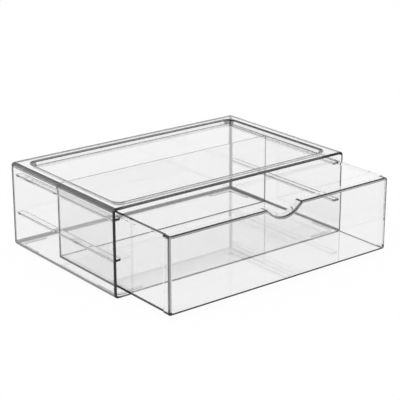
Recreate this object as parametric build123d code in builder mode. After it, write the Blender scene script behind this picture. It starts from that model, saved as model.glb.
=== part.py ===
from build123d import *
import os
from math import atan2, cos, degrees, radians, sin, tan

# Stackable drawer box in clear moulded plastic: an open-fronted casing with a
# raised stacking rim, and one drawer that hangs by its lips on two runners.
#
# Millimetres. +Z is up, the drawer opens towards -Y, and +X is to the right
# as seen from the front. Everything is drawn round the centre of the casing's
# flat underside. At the end it is moved, so that the origin is the middle of
# the whole footprint, in the plane that the feet stand on. The drawer is drawn
# where it rests, partly pulled out.

# ---------------------------------------------------------------- casing
casing_width = 305.0
casing_depth = 193.0
casing_height = 94.5        # underside to the top of the stacking rim
casing_wall = 2.5
base_corner = 5.0           # outer radius of the lower edges
back_corner = 4.2           # outer radius of the upright back edges
mouth_round = 1.8           # outer edge round the open front
mouth_inner_round = 0.4

# ------------------------------------------------- top panel, stacking rim
top_skirt = 4.2             # depth of the panel's turned-down edge
top_corner = 4.0            # outer radius along the panel's edges
top_inner_corner = 1.5      # the same edges on the inside
joint_groove = 0.35         # fine groove outside, where the panel meets the walls
rim_width = 13.8            # flat top of the rim, from the outside
rim_slope_run = 3.3         # how far the rim takes to fall to the recess
recess_depth = 4.4
recess_corner = 9.5         # plan radius of the rim's inner corners
rim_round = 3.2             # rounding where the slope starts and ends

# ------------------------------------------------------- runner strips
runner_reach = 8.0          # from the side wall towards the drawer
runner_thickness = 2.5
runner_setback = 2.5        # front end, behind the casing's front edge
runner_back_gap = 7.0       # back end, before the casing's inner back face
runner_end_round = 2.5
runner_edge_round = 0.5
upper_runner_drop = 11.5    # top of the upper pair, below the casing's top
middle_runner_share = 0.49  # height of the middle pair, as a share of the upper

# ------------------------------------------------------------------ feet
foot_height = 1.2
foot_width = 2.8
foot_leg = 35.0
foot_inset = 5.7            # outer face of a leg, from the casing's outside
foot_bend = 7.0             # radius of the bend, along the strip's middle
foot_end_round = 1.3
foot_edge_round = 0.5

# ---------------------------------------------------------- drawer tray
tray_wall = 2.0
tray_side_clearance = 0.7   # tray's side to the runner's tip
tray_floor_clearance = 3.7  # under the tray, above the casing's floor
tray_corner = 1.2
tray_inner_corner = 0.8
tray_back_clearance = 4.6   # tray to the casing's back wall, drawer shut
lip_overlap = 1.5           # how far each lip lies over its runner
lip_thickness = 3.2
lip_seat_clearance = 0.2    # lip above the upper runner

# --------------------------------------------------------- drawer front
front_wall = 2.5
front_depth = 9.5           # from the outer face to the flange's free edge
front_flange = 2.0          # flange thickness, round the top and the sides
front_corner = 2.6
front_round = 2.4           # rounded edge of the outer face
shut_clearance = 0.3        # flange to the runners' ends, drawer shut

# ---------------------------------------------------------- finger notch
notch_depth = 11.4
notch_half_width = 22.5     # at the top edge, before its corners are rounded
notch_flank_angle = 40.0    # flank from the horizontal
notch_top_round = 3.0

# ------------------------------------------------------------ the pull-out
pull_out = 69.5             # how far open the drawer stands here

# ------------------------------------------------------ derived positions
half_width = casing_width / 2
half_depth = casing_depth / 2
joint_height = casing_height - top_skirt
inner_half_width = half_width - casing_wall
inner_back = half_depth - casing_wall
recess_height = casing_height - recess_depth

runner_tip = inner_half_width - runner_reach
runner_front = -half_depth + runner_setback
upper_runner_top = casing_height - upper_runner_drop
middle_runner_top = middle_runner_share * upper_runner_top

tray_half_width = runner_tip - tray_side_clearance
tray_base_height = casing_wall + tray_floor_clearance
lip_half_width = runner_tip + lip_overlap
lip_underside = upper_runner_top + lip_seat_clearance
drawer_top = lip_underside + lip_thickness
tray_height = drawer_top - tray_base_height

flange_edge = runner_front - shut_clearance - pull_out
front_face = flange_edge - front_depth
front_inner_face = front_face + front_wall
tray_back = inner_back - tray_back_clearance - pull_out
tray_length = tray_back - front_inner_face

pick_margin = 0.1           # tolerance when edges are picked by where they lie


def casing_footprint(inset=0.0, front_extra=0.0):
    """Plan of the casing with rounded back corners, drawn a given inset inside it."""
    length = casing_depth - inset + front_extra
    with Locations((0, half_depth - inset)):
        plan = Rectangle(casing_width - 2 * inset, length, align=(Align.CENTER, Align.MAX))
    fillet(plan.vertices().group_by(Axis.Y)[-1], back_corner - inset)


def borders_opening(edge):
    """Whether an edge of the casing's mouth lies on the opening, not on the outside."""
    middle = edge @ 0.5
    within_sides = abs(middle.X) < inner_half_width + pick_margin
    below_rim = middle.Z < casing_height - casing_wall + pick_margin
    return within_sides and below_rim and middle.Z > casing_wall - pick_margin


def lies_outside(edge):
    """Whether a level edge of the casing runs along its sides or back, on the outside."""
    middle = edge @ 0.5
    beyond_sides = abs(middle.X) > inner_half_width + pick_margin
    return beyond_sides or middle.Y > inner_back + pick_margin


def mouth_edges(builder, on_opening):
    """Front edges of a casing piece: those round the opening, or the outer ones."""
    front_edges = builder.faces().sort_by(Axis.Y)[0].edges()
    away_from_joint = front_edges.filter_by(
        lambda edge: abs((edge @ 0.5).Z - joint_height) > pick_margin
    )
    return away_from_joint.filter_by(lambda edge: borders_opening(edge) == on_opening)


# ------------------------------------------------------------ casing body
with BuildPart() as casing_body:
    with BuildSketch():
        casing_footprint()
    extrude(amount=joint_height)
    lower_edges = casing_body.faces().sort_by(Axis.Z)[0].edges()
    fillet(lower_edges - lower_edges.group_by(Axis.Y)[0], base_corner)
    mouth = casing_body.faces().sort_by(Axis.Y)[0]
    top_opening = casing_body.faces().sort_by(Axis.Z)[-1]
    offset(amount=-casing_wall, openings=[mouth, top_opening])
    joint_edges = casing_body.faces().sort_by(Axis.Z)[-1].edges().filter_by(lies_outside)
    chamfer(joint_edges - joint_edges.group_by(Axis.Y)[0], joint_groove)
    fillet(mouth_edges(casing_body, on_opening=False), mouth_round)
    fillet(mouth_edges(casing_body, on_opening=True), mouth_inner_round)

# -------------------------------------------------------------- top panel
# The sheet bends down from the rim to the recess at one wall's thickness, so
# its lower bend stands out from the upper one by this much.
slope_angle = degrees(atan2(recess_depth, rim_slope_run))
bend_shift = casing_wall * tan(radians(slope_angle / 2))
slope_taper = 90 - slope_angle


def rim_opening(inset, corner):
    """Rounded rectangle inside the casing's plan, for the recess."""
    RectangleRounded(casing_width - 2 * inset, casing_depth - 2 * inset, corner)


def level_face(builder, height):
    """The flat horizontal face of a piece that lies at a height."""
    flat_faces = builder.faces().filter_by(Axis.Z)
    return flat_faces.sort_by(lambda face: abs(face.center().Z - height))[0]


with BuildPart() as top_panel:
    with BuildSketch(Plane.XY.offset(joint_height)):
        casing_footprint()
    extrude(amount=top_skirt)
    upper_edges = top_panel.faces().sort_by(Axis.Z)[-1].edges()
    fillet(upper_edges - upper_edges.group_by(Axis.Y)[0], top_corner)
    # hollow under the rim, open at the front
    with BuildSketch(Plane.XY.offset(joint_height)):
        casing_footprint(inset=casing_wall, front_extra=casing_wall)
    extrude(amount=top_skirt - casing_wall, mode=Mode.SUBTRACT)
    hollow_edges = level_face(top_panel, casing_height - casing_wall).edges()
    fillet(hollow_edges - hollow_edges.group_by(Axis.Y)[0], top_inner_corner)
    # the recess: its underside first, then the pocket in the top
    with BuildSketch(Plane.XY.offset(casing_height - casing_wall)):
        rim_opening(rim_width - bend_shift, recess_corner + bend_shift)
    extrude(amount=-recess_depth, taper=slope_taper)
    with BuildSketch(Plane.XY.offset(casing_height)):
        rim_opening(rim_width, recess_corner)
    extrude(amount=-recess_depth, taper=slope_taper, mode=Mode.SUBTRACT)
    # both bends are rounded, on the outside and on the inside of the sheet
    rim_top = top_panel.faces().sort_by(Axis.Z)[-1]
    fillet(rim_top.inner_wires()[0].edges(), rim_round)
    recess_underside = top_panel.faces().sort_by(Axis.Z)[0]
    fillet(recess_underside.outer_wire().edges(), rim_round)
    recess_floor = level_face(top_panel, recess_height)
    fillet(recess_floor.outer_wire().edges(), rim_round - casing_wall)
    rim_underside = level_face(top_panel, casing_height - casing_wall)
    fillet(rim_underside.inner_wires()[0].edges(), rim_round - casing_wall)
    fillet(mouth_edges(top_panel, on_opening=False), mouth_round)
    fillet(mouth_edges(top_panel, on_opening=True), mouth_inner_round)


# ---------------------------------------------------------- runner strips
def runner(side, top_height):
    """One strip along a side wall; side is -1 for the left, +1 for the right."""
    length = inner_back - runner_back_gap - runner_front
    middle = side * (inner_half_width + runner_tip) / 2
    with BuildPart() as strip:
        with BuildSketch(Plane.XY.offset(top_height - runner_thickness)):
            with Locations((middle, runner_front)):
                plan = Rectangle(runner_reach, length, align=(Align.CENTER, Align.MIN))
            tip = plan.vertices().sort_by(lambda corner: abs(corner.X))[:2]
            fillet(tip, runner_end_round)
        extrude(amount=runner_thickness)
        level_edges = strip.faces().filter_by(Axis.Z).edges()
        at_wall = level_edges.sort_by(lambda edge: abs((edge @ 0.5).X))[-2:]
        fillet(level_edges - at_wall, runner_edge_round)
    return strip.part


# ------------------------------------------------------------------- feet
def corner_foot(side_x, side_y):
    """L-shaped foot under one corner; its legs run inwards from that corner."""
    corner_x = side_x * (half_width - foot_inset - foot_width / 2)
    corner_y = side_y * (half_depth - foot_inset - foot_width / 2)
    run = foot_leg - foot_width
    leg_ends = [(corner_x - side_x * run, corner_y), (corner_x, corner_y - side_y * run)]
    with BuildPart() as foot:
        with BuildSketch():
            with BuildLine() as path:
                FilletPolyline(leg_ends[0], (corner_x, corner_y), leg_ends[1], radius=foot_bend)
            strip = trace(path.line, line_width=foot_width)
            for leg_end in leg_ends:
                tip = strip.vertices().sort_by_distance(leg_end)[:2]
                fillet(tip, foot_end_round)
        extrude(amount=-foot_height)
        fillet(foot.faces().sort_by(Axis.Z)[0].edges(), foot_edge_round)
    return foot.part


# ------------------------------------------------------------ drawer tray
def tray_form(inset, corner):
    """The tray as a block with rounded lower and back edges, drawn inside itself."""
    with BuildPart() as form:
        with Locations((0, tray_back - inset, drawer_top)):
            Box(
                2 * (tray_half_width - inset),
                tray_length - inset,
                tray_height - inset,
                align=(Align.CENTER, Align.MAX, Align.MAX),
            )
        back_corners = form.edges().filter_by(Axis.Z).group_by(Axis.Y)[-1]
        base_edges = form.faces().sort_by(Axis.Z)[0].edges()
        fillet(back_corners + (base_edges - base_edges.group_by(Axis.Y)[0]), corner)
    return form.part


with BuildPart() as drawer_tray:
    add(tray_form(inset=0.0, corner=tray_corner))
    add(tray_form(inset=tray_wall, corner=tray_inner_corner), mode=Mode.SUBTRACT)
    # lips that hang on the upper runners
    lip_root = tray_half_width - tray_wall / 2
    lip_length = tray_back - tray_corner - flange_edge
    for side in (-1, 1):
        with Locations((side * (lip_root + lip_half_width) / 2, flange_edge, lip_underside)):
            Box(
                lip_half_width - lip_root,
                lip_length,
                lip_thickness,
                align=(Align.CENTER, Align.MIN, Align.MIN),
            )

# ----------------------------------------------------------- drawer front
# A cap: its wall closes the tray, and a flange runs back round the top and the
# sides. The notch's round bottom is one arc, tangent to both flanks.
notch_base = drawer_top - notch_depth
flank = radians(notch_flank_angle)
flank_foot = notch_half_width - notch_depth / tan(flank)
notch_radius = flank_foot / tan(flank / 2)

with BuildPart() as drawer_front:
    with BuildSketch(Plane.XZ.offset(-flange_edge)) as outline:
        with Locations((0, tray_base_height)):
            plate = Rectangle(2 * lip_half_width, tray_height, align=(Align.CENTER, Align.MIN))
        fillet(plate.vertices(), front_corner)
        with BuildLine():
            arc_end = (notch_radius * sin(flank), notch_base + notch_radius * (1 - cos(flank)))
            ThreePointArc((-arc_end[0], arc_end[1]), (0, notch_base), arc_end)
            Polyline(
                arc_end,
                (notch_half_width, drawer_top),
                (-notch_half_width, drawer_top),
                (-arc_end[0], arc_end[1]),
            )
        make_face(mode=Mode.SUBTRACT)
        crest = outline.vertices().sort_by(lambda corner: abs(abs(corner.X) - notch_half_width))
        fillet(crest[:2], notch_top_round)
    extrude(amount=front_depth)
    fillet(drawer_front.faces().sort_by(Axis.Y)[0].edges(), front_round)
    # hollow behind the wall: between the tray's sides, and open below
    with BuildSketch(Plane.XZ.offset(-flange_edge)):
        add(outline.sketch)
        offset(amount=-front_flange, mode=Mode.REPLACE)
        with Locations((0, tray_base_height)):
            Rectangle(
                2 * lip_root,
                tray_height,
                align=(Align.CENTER, Align.MIN),
                mode=Mode.INTERSECT,
            )
            Rectangle(2 * lip_root, tray_height / 2, align=(Align.CENTER, Align.MIN))
            Rectangle(2 * lip_half_width, tray_corner, align=(Align.CENTER, Align.MIN))
    extrude(amount=front_depth - front_wall, mode=Mode.SUBTRACT)
    add(drawer_tray.part, mode=Mode.SUBTRACT)

# ------------------------------------------------------------------ files
pieces = {
    "casing_body": casing_body.part,
    "top_panel": top_panel.part,
    "upper_runner_left": runner(-1, upper_runner_top),
    "upper_runner_right": runner(1, upper_runner_top),
    "middle_runner_left": runner(-1, middle_runner_top),
    "middle_runner_right": runner(1, middle_runner_top),
    "foot_front_left": corner_foot(-1, -1),
    "foot_front_right": corner_foot(1, -1),
    "foot_back_left": corner_foot(-1, 1),
    "foot_back_right": corner_foot(1, 1),
    "drawer_tray": drawer_tray.part,
    "drawer_front": drawer_front.part,
}

footprint_middle = (front_face + half_depth) / 2
to_origin = Location((0, -footprint_middle, foot_height))

os.makedirs("parts", exist_ok=True)
for piece_name, piece in pieces.items():
    placed = piece.moved(to_origin)
    placed.label = piece_name
    export_step(placed, f"parts/{piece_name}.step")
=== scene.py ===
"""Stackable drawer box in clear moulded plastic, with its drawer partly open."""

import math

import bmesh
import bpy
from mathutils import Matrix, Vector


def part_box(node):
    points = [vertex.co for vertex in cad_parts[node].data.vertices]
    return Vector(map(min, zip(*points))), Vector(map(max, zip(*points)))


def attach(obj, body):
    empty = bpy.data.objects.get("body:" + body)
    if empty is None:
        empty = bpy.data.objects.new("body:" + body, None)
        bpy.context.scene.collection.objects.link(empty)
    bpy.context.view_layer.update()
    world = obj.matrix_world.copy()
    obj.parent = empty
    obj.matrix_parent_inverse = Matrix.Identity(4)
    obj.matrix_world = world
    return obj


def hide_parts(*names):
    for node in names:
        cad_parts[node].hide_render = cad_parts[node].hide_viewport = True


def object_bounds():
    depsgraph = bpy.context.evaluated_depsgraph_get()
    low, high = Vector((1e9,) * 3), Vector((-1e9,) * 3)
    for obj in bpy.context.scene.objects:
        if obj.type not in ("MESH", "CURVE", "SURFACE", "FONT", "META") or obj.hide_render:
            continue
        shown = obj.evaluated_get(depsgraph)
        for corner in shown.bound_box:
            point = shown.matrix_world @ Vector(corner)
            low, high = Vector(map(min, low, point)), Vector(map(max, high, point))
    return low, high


bl_info = {
    "name": "Clear drawer box",
    "version": (1, 0, 0),
    "blender": (4, 5, 0),
    "location": "3D View > Sidebar > Drawer box",
    "description": "Casing, drawer and photo stage of a clear stackable drawer box",
    "category": "Object",
}

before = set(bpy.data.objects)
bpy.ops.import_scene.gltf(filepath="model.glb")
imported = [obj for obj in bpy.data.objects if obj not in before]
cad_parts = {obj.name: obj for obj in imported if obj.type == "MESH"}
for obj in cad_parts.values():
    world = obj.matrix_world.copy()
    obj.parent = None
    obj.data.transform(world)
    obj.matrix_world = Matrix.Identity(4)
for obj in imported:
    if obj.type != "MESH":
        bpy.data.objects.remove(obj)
cad_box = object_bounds()

CASING_NODES = (
    "casing_body",
    "top_panel",
    "upper_runner_left",
    "upper_runner_right",
    "middle_runner_left",
    "middle_runner_right",
    "foot_front_left",
    "foot_front_right",
    "foot_back_left",
    "foot_back_right",
)
DRAWER_NODES = ("drawer_tray", "drawer_front")

# face attribute that tells the material how tightly the moulding is rounded there, and so where it
# paints shade along the edges
EDGE_SHADE_MASK = "rounding"

SENSOR_WIDTH = 36.0


# ---------------------------------------------------------------- settings
class ClearPlasticSettings(bpy.types.PropertyGroup):
    """Looks of the clear plastic that the whole box is moulded from"""

    ior: bpy.props.FloatProperty(
        name="Refraction",
        description="Index of refraction; crystal polystyrene is about 1.59, acrylic 1.49",
        default=1.5,
        min=1.3,
        max=1.8,
    )
    depth_tint: bpy.props.FloatVectorProperty(
        name="Depth colour",
        description="Colour that long paths through the plastic turn to",
        subtype="COLOR",
        size=3,
        default=(0.0, 0.0, 0.0),
        min=0.0,
        max=1.0,
    )
    depth_density: bpy.props.FloatProperty(
        name="Depth density",
        description="How much light a metre of the plastic takes away",
        default=14.0,
        min=0.0,
        max=100.0,
    )
    gloss_roughness: bpy.props.FloatProperty(
        name="Gloss roughness",
        description="Roughness of the clean polished faces",
        default=0.0,
        min=0.0,
        max=0.3,
        precision=3,
    )
    wall_tint: bpy.props.FloatProperty(
        name="Wall tint",
        description="Light that passes a flat face of the plastic",
        default=0.985,
        min=0.0,
        max=1.0,
        subtype="FACTOR",
    )
    # painted shade: the plastic's base colour on its most tightly rounded edges, darkened to stand
    # in for the dark lines that light bent by those edges draws
    painted_edge_shade: bpy.props.FloatProperty(
        name="Edge tint",
        description="Light that passes the plastic where its edges are rounded most tightly",
        default=0.06,
        min=0.0,
        max=1.0,
        subtype="FACTOR",
    )
    scuff_roughness: bpy.props.FloatProperty(
        name="Scuff roughness",
        description="Roughness along the faint scuffs",
        default=0.05,
        min=0.0,
        max=0.5,
        precision=3,
    )
    scuff_length: bpy.props.FloatProperty(
        name="Scuff length",
        description="Size of the cells that the hairline scuffs run round",
        default=0.045,
        min=0.005,
        max=0.2,
        subtype="DISTANCE",
        unit="LENGTH",
    )
    scuff_stretch: bpy.props.FloatVectorProperty(
        name="Scuff stretch",
        description="Scale of the scuffs' cells along each axis; a small one makes them long",
        subtype="XYZ",
        size=3,
        default=(1.0, 0.35, 1.6),
    )
    scuff_turn: bpy.props.FloatVectorProperty(
        name="Scuff turn",
        description="Turn of the scuffs' cells, so that they run across the walls",
        subtype="EULER",
        unit="ROTATION",
        size=3,
        default=(0.2, 0.35, 0.6),
    )
    scuff_width: bpy.props.FloatProperty(
        name="Scuff width",
        description="Width of a scuff, as a share of its cell",
        default=0.012,
        min=0.001,
        max=0.2,
        precision=3,
    )
    scuff_gaps: bpy.props.FloatVectorProperty(
        name="Scuff gaps",
        description="Noise levels at which a scuff starts to show and shows in full",
        size=2,
        default=(0.5, 0.7),
        min=0.0,
        max=1.0,
    )
    gap_share: bpy.props.FloatProperty(
        name="Gap size",
        description="How many times finer than the scuffs their gaps are",
        default=2.2,
        min=0.1,
        max=20.0,
    )
    flow_size: bpy.props.FloatProperty(
        name="Flow ripple size",
        description="Length of the slow ripples that moulding leaves in the walls",
        default=0.06,
        min=0.01,
        max=0.3,
        subtype="DISTANCE",
        unit="LENGTH",
    )
    flow_height: bpy.props.FloatProperty(
        name="Flow ripple height",
        description="Height of those ripples",
        default=0.00002,
        min=0.0,
        max=0.001,
        subtype="DISTANCE",
        unit="LENGTH",
        precision=6,
    )


class EdgeSettings(bpy.types.PropertyGroup):
    """How the moulded pieces' edges are shaded"""

    crease_angle: bpy.props.FloatProperty(
        name="Crease angle",
        description="Edges that turn more than this stay crisp",
        default=math.radians(25.0),
        min=0.0,
        max=math.pi,
        subtype="ANGLE",
        unit="ROTATION",
    )
    flat_angle: bpy.props.FloatProperty(
        name="Flat angle",
        description="Faces that turn less than this belong to one flat face",
        default=math.radians(0.5),
        min=0.0,
        max=math.pi,
        subtype="ANGLE",
        unit="ROTATION",
    )
    facet_width: bpy.props.FloatProperty(
        name="Facet width",
        description="Flat strips narrower than this are facets of a rounded edge",
        default=0.0022,
        min=0.0,
        max=0.02,
        subtype="DISTANCE",
        unit="LENGTH",
        precision=4,
    )
    flat_weight: bpy.props.IntProperty(
        name="Flat weight",
        description="How strongly large faces set the shading; 50 leaves it to their area alone",
        default=50,
        min=1,
        max=100,
    )
    weld_distance: bpy.props.FloatProperty(
        name="Weld distance",
        description="Points of a moulding closer than this are one point",
        default=0.000001,
        min=0.0,
        max=0.001,
        subtype="DISTANCE",
        unit="LENGTH",
        precision=7,
    )


class StageSettings(bpy.types.PropertyGroup):
    """Camera, light table and soft studio light"""

    camera_place: bpy.props.FloatVectorProperty(
        name="Camera place",
        description="From the middle of the casing's lower front edge",
        subtype="TRANSLATION",
        unit="LENGTH",
        size=3,
        default=(-0.8345, -1.0019, 0.5256),
    )
    camera_pitch: bpy.props.FloatProperty(
        name="Camera pitch",
        description="How far the camera looks down",
        default=math.radians(19.22),
        subtype="ANGLE",
        unit="ROTATION",
    )
    camera_heading: bpy.props.FloatProperty(
        name="Camera heading",
        description="Turn of the camera round the upright axis",
        default=math.radians(-38.18),
        subtype="ANGLE",
        unit="ROTATION",
    )
    camera_lens: bpy.props.FloatProperty(
        name="Camera lens",
        description="Focal length in millimetres, on a sensor 36 mm wide",
        default=120.6,
        min=20.0,
        max=400.0,
    )
    backdrop_colour: bpy.props.FloatVectorProperty(
        name="Backdrop",
        description="Colour of the floor and the backdrop as the camera sees them",
        subtype="COLOR",
        size=3,
        default=(1.0, 1.0, 1.0),
        min=0.0,
        max=1.0,
    )
    floor_colour: bpy.props.FloatVectorProperty(
        name="Floor",
        description="Colour of the floor where the lamp lights it",
        subtype="COLOR",
        size=3,
        default=(0.8, 0.8, 0.8),
        min=0.0,
        max=1.0,
    )
    floor_reach: bpy.props.FloatProperty(
        name="Floor reach",
        description="From the middle of the floor to its sides",
        default=6.0,
        min=1.0,
        max=100.0,
        subtype="DISTANCE",
        unit="LENGTH",
    )
    floor_gap: bpy.props.FloatProperty(
        name="Floor gap",
        description="How far the floor lies under the feet",
        default=0.0002,
        min=0.0,
        max=0.01,
        subtype="DISTANCE",
        unit="LENGTH",
        precision=4,
    )
    shadow_share: bpy.props.FloatProperty(
        name="Shadow share",
        description="How much of the floor's look is lit surface that takes the box's shadow",
        default=0.03,
        min=0.0,
        max=1.0,
        subtype="FACTOR",
    )
    bright_height: bpy.props.FloatProperty(
        name="Bright height",
        description="Height of direction up to which the room is bright behind the plastic",
        default=0.4,
        min=0.0,
        max=0.9,
    )
    bright_fade: bpy.props.FloatProperty(
        name="Bright fade",
        description="How softly the bright room turns dim overhead",
        default=0.04,
        min=0.001,
        max=0.5,
    )
    dim_level: bpy.props.FloatProperty(
        name="Dim room",
        description="Brightness of the rest of the room, as it shows through bent edges",
        default=0.0,
        min=0.0,
        max=1.0,
        subtype="FACTOR",
    )
    lamp_power: bpy.props.FloatProperty(
        name="Soft lamp",
        description="Power of the large soft lamp",
        default=6.0,
        min=0.0,
        max=200.0,
        subtype="POWER",
        unit="POWER",
    )
    lamp_size: bpy.props.FloatVectorProperty(
        name="Lamp size",
        description="Width and depth of the lamp",
        unit="LENGTH",
        size=2,
        default=(0.9, 0.6),
        min=0.01,
    )
    lamp_place: bpy.props.FloatVectorProperty(
        name="Lamp place",
        description="Middle of the lamp",
        subtype="TRANSLATION",
        unit="LENGTH",
        size=3,
        default=(-0.7, -0.5, 1.1),
    )
    lamp_aim: bpy.props.FloatVectorProperty(
        name="Lamp aim",
        description="Point that the lamp looks at, about the middle of the box",
        subtype="TRANSLATION",
        unit="LENGTH",
        size=3,
        default=(0.0, 0.0, 0.05),
    )


# ------------------------------------------------------- node-tree helpers
def grey(level):
    """A neutral colour."""
    return (level, level, level, 1.0)


def new_material(name):
    """An empty node material and its output node."""
    material = bpy.data.materials.new(name)
    material.use_nodes = True
    nodes = material.node_tree.nodes
    nodes.clear()
    output = nodes.new("ShaderNodeOutputMaterial")
    return material, output


def clear_plastic(name, settings):
    """Clear moulded plastic: polished, with painted shade on its tightly rounded edges, scuffs and
    slow ripples.
    """
    material, output = new_material(name)
    nodes = material.node_tree.nodes
    link = material.node_tree.links.new

    surface = nodes.new("ShaderNodeBsdfPrincipled")
    surface.inputs["Transmission Weight"].default_value = 1.0
    surface.inputs["IOR"].default_value = settings.ior
    absorb = nodes.new("ShaderNodeVolumeAbsorption")
    absorb.inputs["Color"].default_value = (*settings.depth_tint, 1.0)
    absorb.inputs["Density"].default_value = settings.depth_density
    link(surface.outputs["BSDF"], output.inputs["Surface"])
    link(absorb.outputs["Volume"], output.inputs["Volume"])

    # painted shade: the tighter an edge is rounded, the darker the base colour there, in place of
    # the dark lines that bent light draws along the edges
    rounding = nodes.new("ShaderNodeAttribute")
    rounding.attribute_name = EDGE_SHADE_MASK
    tint = nodes.new("ShaderNodeMix")
    tint.data_type = "RGBA"
    tint.inputs["A"].default_value = grey(settings.wall_tint)
    tint.inputs["B"].default_value = grey(settings.painted_edge_shade)
    link(rounding.outputs["Fac"], tint.inputs["Factor"])
    link(tint.outputs["Result"], surface.inputs["Base Color"])

    place = nodes.new("ShaderNodeTexCoord")

    # hairline scuffs: the thin borders of stretched cells, broken up by noise
    scuff_map = nodes.new("ShaderNodeMapping")
    scuff_map.inputs["Scale"].default_value = settings.scuff_stretch
    scuff_map.inputs["Rotation"].default_value = settings.scuff_turn
    scuffs = nodes.new("ShaderNodeTexVoronoi")
    scuffs.feature = "DISTANCE_TO_EDGE"
    scuffs.inputs["Scale"].default_value = 1.0 / settings.scuff_length
    scuff_line = nodes.new("ShaderNodeMapRange")
    scuff_line.inputs["From Max"].default_value = settings.scuff_width
    scuff_line.inputs["To Min"].default_value = 1.0
    scuff_line.inputs["To Max"].default_value = 0.0
    broken = nodes.new("ShaderNodeTexNoise")
    broken.inputs["Scale"].default_value = settings.gap_share / settings.scuff_length
    broken.inputs["Detail"].default_value = 3.0
    broken_step = nodes.new("ShaderNodeMapRange")
    hidden, shown = settings.scuff_gaps
    broken_step.inputs["From Min"].default_value = hidden
    broken_step.inputs["From Max"].default_value = shown
    scuff_mask = nodes.new("ShaderNodeMath")
    scuff_mask.operation = "MULTIPLY"
    link(place.outputs["Object"], scuff_map.inputs["Vector"])
    link(scuff_map.outputs["Vector"], scuffs.inputs["Vector"])
    link(place.outputs["Object"], broken.inputs["Vector"])
    link(scuffs.outputs["Distance"], scuff_line.inputs["Value"])
    link(broken.outputs["Fac"], broken_step.inputs["Value"])
    link(scuff_line.outputs["Result"], scuff_mask.inputs[0])
    link(broken_step.outputs["Result"], scuff_mask.inputs[1])

    roughness = nodes.new("ShaderNodeMapRange")
    roughness.inputs["To Min"].default_value = settings.gloss_roughness
    roughness.inputs["To Max"].default_value = settings.scuff_roughness
    link(scuff_mask.outputs["Value"], roughness.inputs["Value"])
    link(roughness.outputs["Result"], surface.inputs["Roughness"])

    # slow ripples that the plastic's flow leaves in the walls
    ripples = nodes.new("ShaderNodeTexNoise")
    ripples.inputs["Scale"].default_value = 1.0 / settings.flow_size
    ripples.inputs["Detail"].default_value = 1.0
    bump = nodes.new("ShaderNodeBump")
    bump.inputs["Strength"].default_value = 1.0
    bump.inputs["Distance"].default_value = settings.flow_height
    link(place.outputs["Object"], ripples.inputs["Vector"])
    link(ripples.outputs["Fac"], bump.inputs["Height"])
    link(bump.outputs["Normal"], surface.inputs["Normal"])
    return material


def show_background(material, output, lit, colour, share):
    """Shows camera, mirror and see-through rays the backdrop's colour, and the rest what is lit."""
    nodes = material.node_tree.nodes
    link = material.node_tree.links.new
    plain = nodes.new("ShaderNodeEmission")
    plain.inputs["Color"].default_value = (*colour, 1.0)
    plain.inputs["Strength"].default_value = 1.0
    rays = nodes.new("ShaderNodeLightPath")
    direct = nodes.new("ShaderNodeMath")
    direct.operation = "MAXIMUM"
    seen = nodes.new("ShaderNodeMath")
    seen.operation = "MAXIMUM"
    weight = nodes.new("ShaderNodeMath")
    weight.operation = "MULTIPLY"
    weight.inputs[1].default_value = 1.0 - share
    mix = nodes.new("ShaderNodeMixShader")
    link(rays.outputs["Is Camera Ray"], direct.inputs[0])
    link(rays.outputs["Is Glossy Ray"], direct.inputs[1])
    link(direct.outputs["Value"], seen.inputs[0])
    link(rays.outputs["Is Transmission Ray"], seen.inputs[1])
    link(seen.outputs["Value"], weight.inputs[0])
    link(weight.outputs["Value"], mix.inputs["Fac"])
    link(lit, mix.inputs[1])
    link(plain.outputs["Emission"], mix.inputs[2])
    link(mix.outputs["Shader"], output.inputs["Surface"])


# ------------------------------------------------------------ mesh helpers
def welded_copy(node_name, settings):
    """A copy of a CAD node's mesh, with its loose triangles merged, as a scratch object."""
    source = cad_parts[node_name]
    shape = bmesh.new()
    shape.from_mesh(source.data)
    shape.transform(source.matrix_world)
    bmesh.ops.remove_doubles(shape, verts=shape.verts, dist=settings.weld_distance)
    mesh = bpy.data.meshes.new(node_name + "_copy")
    shape.to_mesh(mesh)
    shape.free()
    scratch = bpy.data.objects.new(node_name + "_copy", mesh)
    bpy.context.scene.collection.objects.link(scratch)
    return scratch


def mark_roundings(shape, settings):
    """Stores on each face how tightly the moulding's edge is rounded there: 0 flat, 1 tight; the
    material paints shade by it.
    """
    tightness = shape.faces.layers.float.new(EDGE_SHADE_MASK)
    level = math.cos(settings.flat_angle)
    seen = set()
    for first in shape.faces:
        if first in seen:
            continue
        seen.add(first)
        region = [first]
        for face in region:
            for edge in face.edges:
                for other in edge.link_faces:
                    if other not in seen and other.normal.dot(first.normal) > level:
                        seen.add(other)
                        region.append(other)
        # how wide the region is on average: its area by the diagonal of its box
        corners = [vert.co for face in region for vert in face.verts]
        spans = [max(values) - min(values) for values in zip(*corners)]
        diagonal = max(Vector(spans).length, settings.weld_distance)
        width = sum(face.calc_area() for face in region) / diagonal
        for face in region:
            face[tightness] = max(0.0, 1.0 - width / settings.facet_width)


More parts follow.
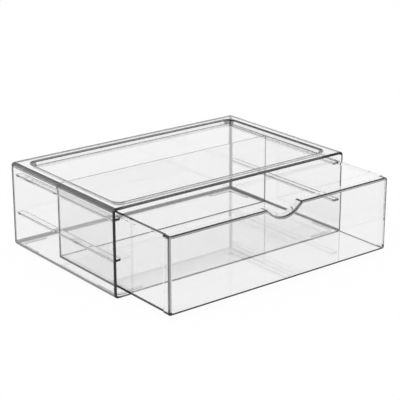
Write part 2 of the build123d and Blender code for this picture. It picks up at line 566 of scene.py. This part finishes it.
def moulded_in_one(piece_name, node_names, settings):
    """One closed moulding out of several CAD nodes that touch, as a new object."""
    scratch = [welded_copy(name, settings) for name in node_names]
    base = scratch[0]
    for part in scratch[1:]:
        join = base.modifiers.new(part.name, "BOOLEAN")
        join.operation = "UNION"
        join.solver = "EXACT"
        join.object = part
    bpy.context.view_layer.update()
    joined = base.evaluated_get(bpy.context.evaluated_depsgraph_get())
    shape = bmesh.new()
    shape.from_mesh(joined.to_mesh())
    joined.to_mesh_clear()
    for part in scratch:
        mesh = part.data
        bpy.data.objects.remove(part)
        bpy.data.meshes.remove(mesh)

    bmesh.ops.remove_doubles(shape, verts=shape.verts, dist=settings.weld_distance)
    if any(len(edge.link_faces) < 2 for edge in shape.edges):
        raise RuntimeError(piece_name + " came out with an open edge")
    mark_roundings(shape, settings)
    for face in shape.faces:
        face.smooth = True
    for edge in shape.edges:
        if len(edge.link_faces) == 2:
            edge.smooth = edge.calc_face_angle() < settings.crease_angle
    mesh = bpy.data.meshes.new(piece_name)
    shape.to_mesh(mesh)
    shape.free()
    piece = bpy.data.objects.new(piece_name, mesh)
    bpy.context.scene.collection.objects.link(piece)
    flat_first = piece.modifiers.new("flat faces stay flat", "WEIGHTED_NORMAL")
    flat_first.mode = "FACE_AREA"
    flat_first.weight = settings.flat_weight
    flat_first.keep_sharp = True
    return piece


# --------------------------------------------------------------- operators
class DRAWERBOX_OT_casing(bpy.types.Operator):
    """Mould the casing, its rim, runners and feet in one clear piece"""

    bl_idname = "drawerbox.casing"
    bl_label = "Casing"

    def execute(self, context):
        scene = context.scene
        casing = moulded_in_one("casing", CASING_NODES, scene.drawerbox_edges)
        casing.data.materials.append(clear_plastic("clear casing plastic", scene.drawerbox_plastic))
        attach(casing, "casing")
        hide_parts(*CASING_NODES)
        return {"FINISHED"}


class DRAWERBOX_OT_drawer(bpy.types.Operator):
    """Mould the drawer's tray, lips and notched front in one clear piece"""

    bl_idname = "drawerbox.drawer"
    bl_label = "Drawer"

    def execute(self, context):
        scene = context.scene
        drawer = moulded_in_one("drawer", DRAWER_NODES, scene.drawerbox_edges)
        drawer.data.materials.append(clear_plastic("clear drawer plastic", scene.drawerbox_plastic))
        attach(drawer, "drawer")
        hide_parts(*DRAWER_NODES)
        return {"FINISHED"}


class DRAWERBOX_OT_stage(bpy.types.Operator):
    """Set up the camera, the pale floor and the soft light"""

    bl_idname = "drawerbox.stage"
    bl_label = "Stage"

    def execute(self, context):
        scene = context.scene
        settings = scene.drawerbox_stage
        scene.view_settings.view_transform = "Standard"

        low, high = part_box("casing_body")
        lower_front = Vector(((low.x + high.x) / 2, low.y, low.z))
        camera_data = bpy.data.cameras.new("camera")
        camera_data.sensor_width = SENSOR_WIDTH
        camera_data.lens = settings.camera_lens
        camera = bpy.data.objects.new("camera", camera_data)
        scene.collection.objects.link(camera)
        camera.location = lower_front + Vector(settings.camera_place)
        camera.rotation_euler = (
            math.radians(90.0) - settings.camera_pitch,
            0.0,
            settings.camera_heading,
        )
        scene.camera = camera

        # floor, just under the feet
        under_feet = cad_box[0][2] - settings.floor_gap
        table = bmesh.new()
        bmesh.ops.create_grid(table, x_segments=1, y_segments=1, size=settings.floor_reach)
        bmesh.ops.translate(table, verts=table.verts, vec=(0.0, 0.0, under_feet))
        floor_mesh = bpy.data.meshes.new("floor")
        table.to_mesh(floor_mesh)
        table.free()
        floor = bpy.data.objects.new("floor", floor_mesh)
        scene.collection.objects.link(floor)
        paint, output = new_material("pale floor")
        lit = paint.node_tree.nodes.new("ShaderNodeBsdfDiffuse")
        lit.inputs["Color"].default_value = (*settings.floor_colour, 1.0)
        show_background(
            paint, output, lit.outputs["BSDF"], settings.backdrop_colour, settings.shadow_share
        )
        floor_mesh.materials.append(paint)

        # the room is white, but dim overhead for light that comes through the plastic, so
        # that the edges, which bend light upwards, turn dark
        world = bpy.data.worlds.new("room")
        scene.world = world
        world.use_nodes = True
        nodes = world.node_tree.nodes
        link = world.node_tree.links.new
        nodes.clear()
        output = nodes.new("ShaderNodeOutputWorld")
        room = nodes.new("ShaderNodeBackground")
        room.inputs["Color"].default_value = (*settings.backdrop_colour, 1.0)
        direction = nodes.new("ShaderNodeTexCoord")
        split = nodes.new("ShaderNodeSeparateXYZ")
        darken = nodes.new("ShaderNodeValToRGB")
        bright, dim = darken.color_ramp.elements
        bright.position = settings.bright_height
        bright.color = grey(1.0)
        dim.position = settings.bright_height + settings.bright_fade
        dim.color = grey(settings.dim_level)
        seen = nodes.new("ShaderNodeLightPath")
        strength = nodes.new("ShaderNodeMix")
        strength.data_type = "FLOAT"
        strength.inputs["A"].default_value = 1.0
        link(direction.outputs["Generated"], split.inputs["Vector"])
        link(split.outputs["Z"], darken.inputs["Fac"])
        link(seen.outputs["Is Transmission Ray"], strength.inputs["Factor"])
        link(darken.outputs["Color"], strength.inputs["B"])
        link(strength.outputs["Result"], room.inputs["Strength"])
        link(room.outputs["Background"], output.inputs["Surface"])

        lamp_data = bpy.data.lights.new("soft lamp", "AREA")
        lamp_data.shape = "RECTANGLE"
        lamp_data.size, lamp_data.size_y = settings.lamp_size
        lamp_data.energy = settings.lamp_power
        lamp = bpy.data.objects.new("soft lamp", lamp_data)
        scene.collection.objects.link(lamp)
        lamp.location = settings.lamp_place
        aim = Vector(settings.lamp_aim) - lamp.location
        lamp.rotation_euler = aim.to_track_quat("-Z", "Y").to_euler()
        return {"FINISHED"}


# ------------------------------------------------------------------- panel
class DRAWERBOX_PT_panel(bpy.types.Panel):
    """The box's pieces and stage, with their sizes and colours"""

    bl_idname = "DRAWERBOX_PT_panel"
    bl_label = "Drawer box"
    bl_space_type = "VIEW_3D"
    bl_region_type = "UI"
    bl_category = "Drawer box"

    def draw(self, context):
        scene = context.scene
        for title, settings, operators in (
            ("Edges", scene.drawerbox_edges, ()),
            ("Clear plastic", scene.drawerbox_plastic, (DRAWERBOX_OT_casing, DRAWERBOX_OT_drawer)),
            ("Stage", scene.drawerbox_stage, (DRAWERBOX_OT_stage,)),
        ):
            box = self.layout.box()
            box.label(text=title)
            for name in settings.bl_rna.properties.keys():
                if name not in {"rna_type", "name"}:
                    box.prop(settings, name)
            for operator in operators:
                box.operator(operator.bl_idname)


CLASSES = (
    ClearPlasticSettings,
    EdgeSettings,
    StageSettings,
    DRAWERBOX_OT_casing,
    DRAWERBOX_OT_drawer,
    DRAWERBOX_OT_stage,
    DRAWERBOX_PT_panel,
)


def register():
    for cls in CLASSES:
        bpy.utils.register_class(cls)
    bpy.types.Scene.drawerbox_plastic = bpy.props.PointerProperty(type=ClearPlasticSettings)
    bpy.types.Scene.drawerbox_edges = bpy.props.PointerProperty(type=EdgeSettings)
    bpy.types.Scene.drawerbox_stage = bpy.props.PointerProperty(type=StageSettings)


def unregister():
    del bpy.types.Scene.drawerbox_stage
    del bpy.types.Scene.drawerbox_edges
    del bpy.types.Scene.drawerbox_plastic
    for cls in reversed(CLASSES):
        bpy.utils.unregister_class(cls)


def main():
    register()
    bpy.ops.drawerbox.casing()
    bpy.ops.drawerbox.drawer()
    bpy.ops.drawerbox.stage()


if __name__ == "__main__":
    main()
